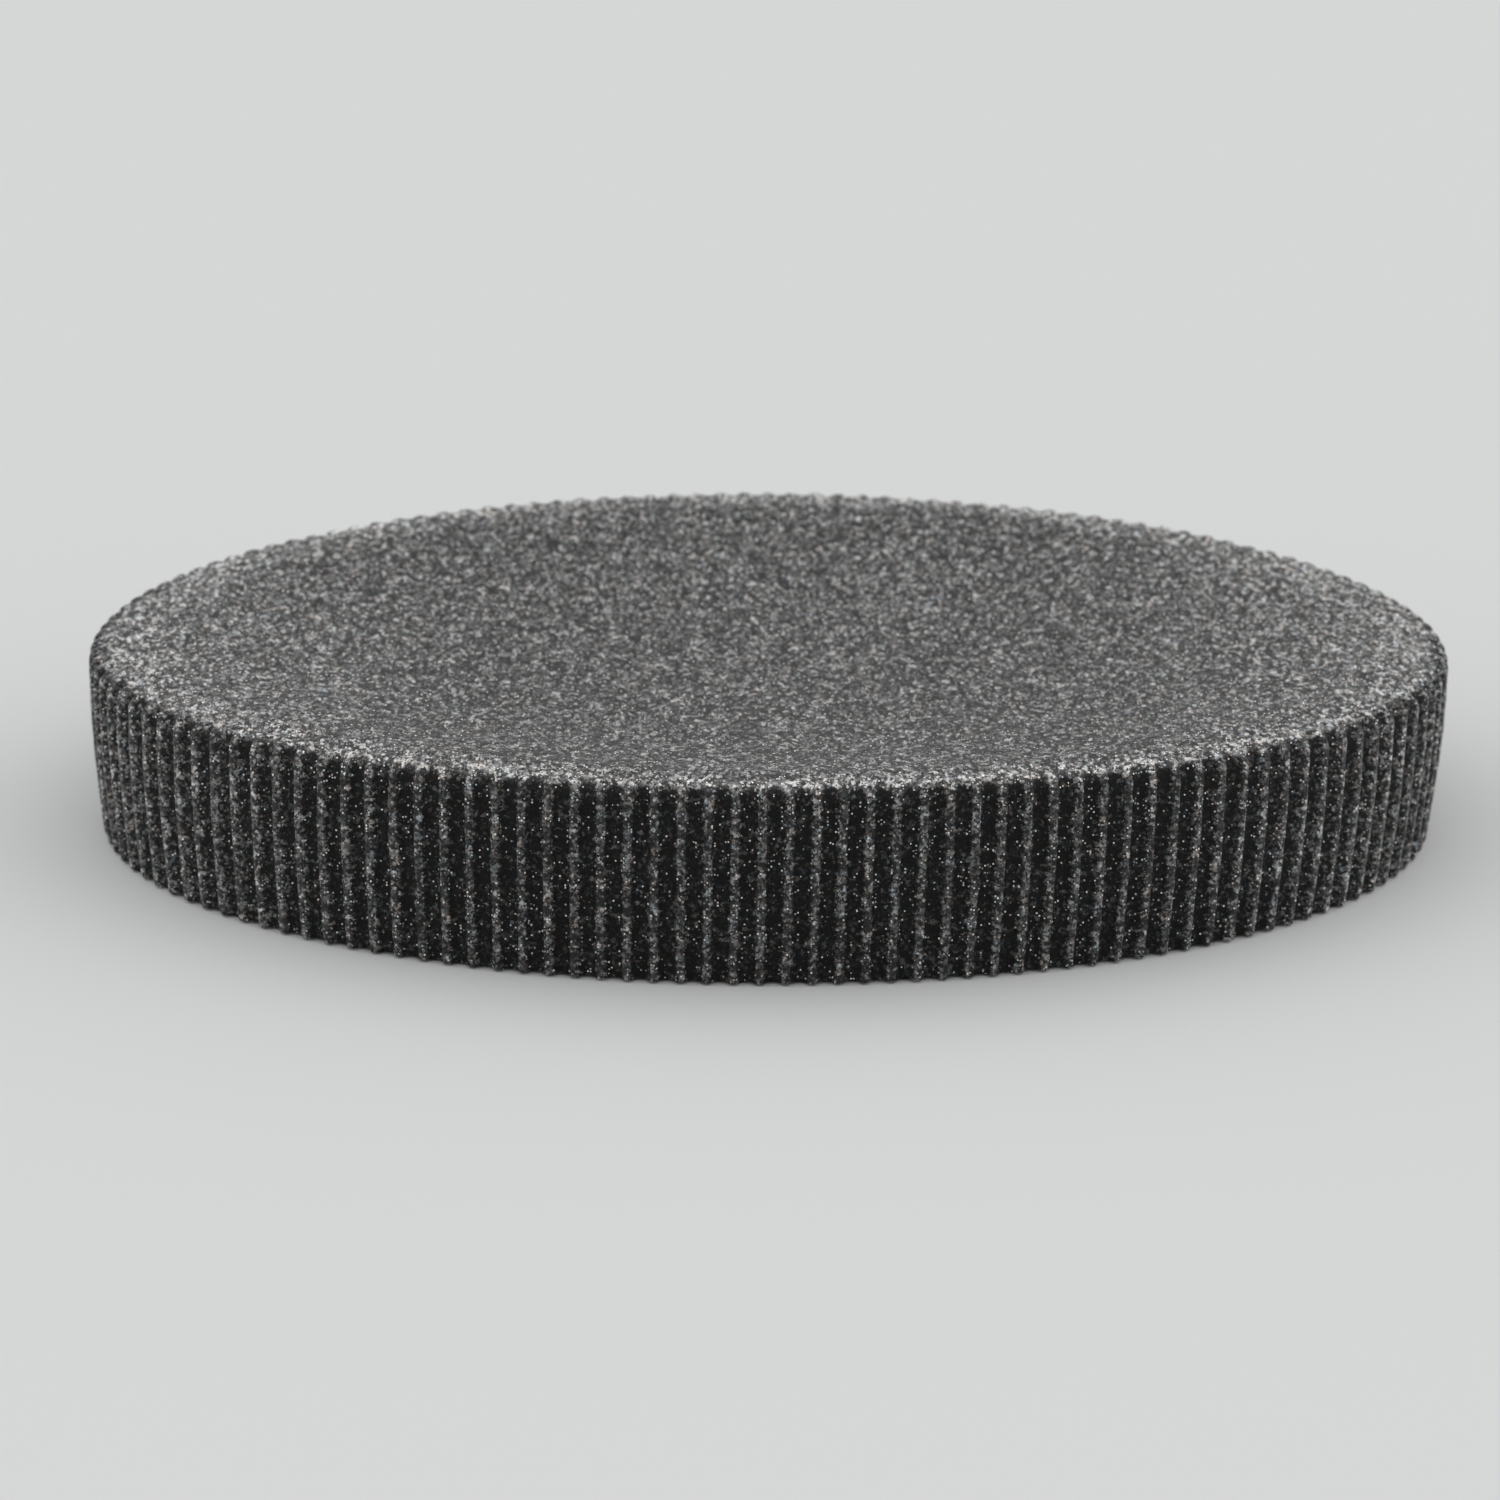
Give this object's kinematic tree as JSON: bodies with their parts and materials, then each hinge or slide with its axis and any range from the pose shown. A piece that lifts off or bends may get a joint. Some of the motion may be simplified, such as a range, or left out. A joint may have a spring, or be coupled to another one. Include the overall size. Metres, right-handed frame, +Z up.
{
  "type": "soap dish",
  "caption": "Oval soap dish in dark speckled stone resin, with a ribbed wall, a rounded lip and a shallow bowl, on foam pads.",
  "frame": {"origin": "on the resting plane, under the middle of the dish", "axes": "+X along the long side towards the right end, -Y towards the front, +Z up"},
  "size_m": [0.14, 0.089, 0.0211],
  "materials": {
    "stone_resin": "matte charcoal with fine grey and white specks and a slight sheen",
    "pad_foam": "matte black closed-cell foam"
  },
  "bodies": {
    "root": {"dish_body": "stone_resin", "foot_pad_front_left": "pad_foam", "foot_pad_front_right": "pad_foam", "foot_pad_rear_left": "pad_foam", "foot_pad_rear_right": "pad_foam"}
  },
  "joints": []
}
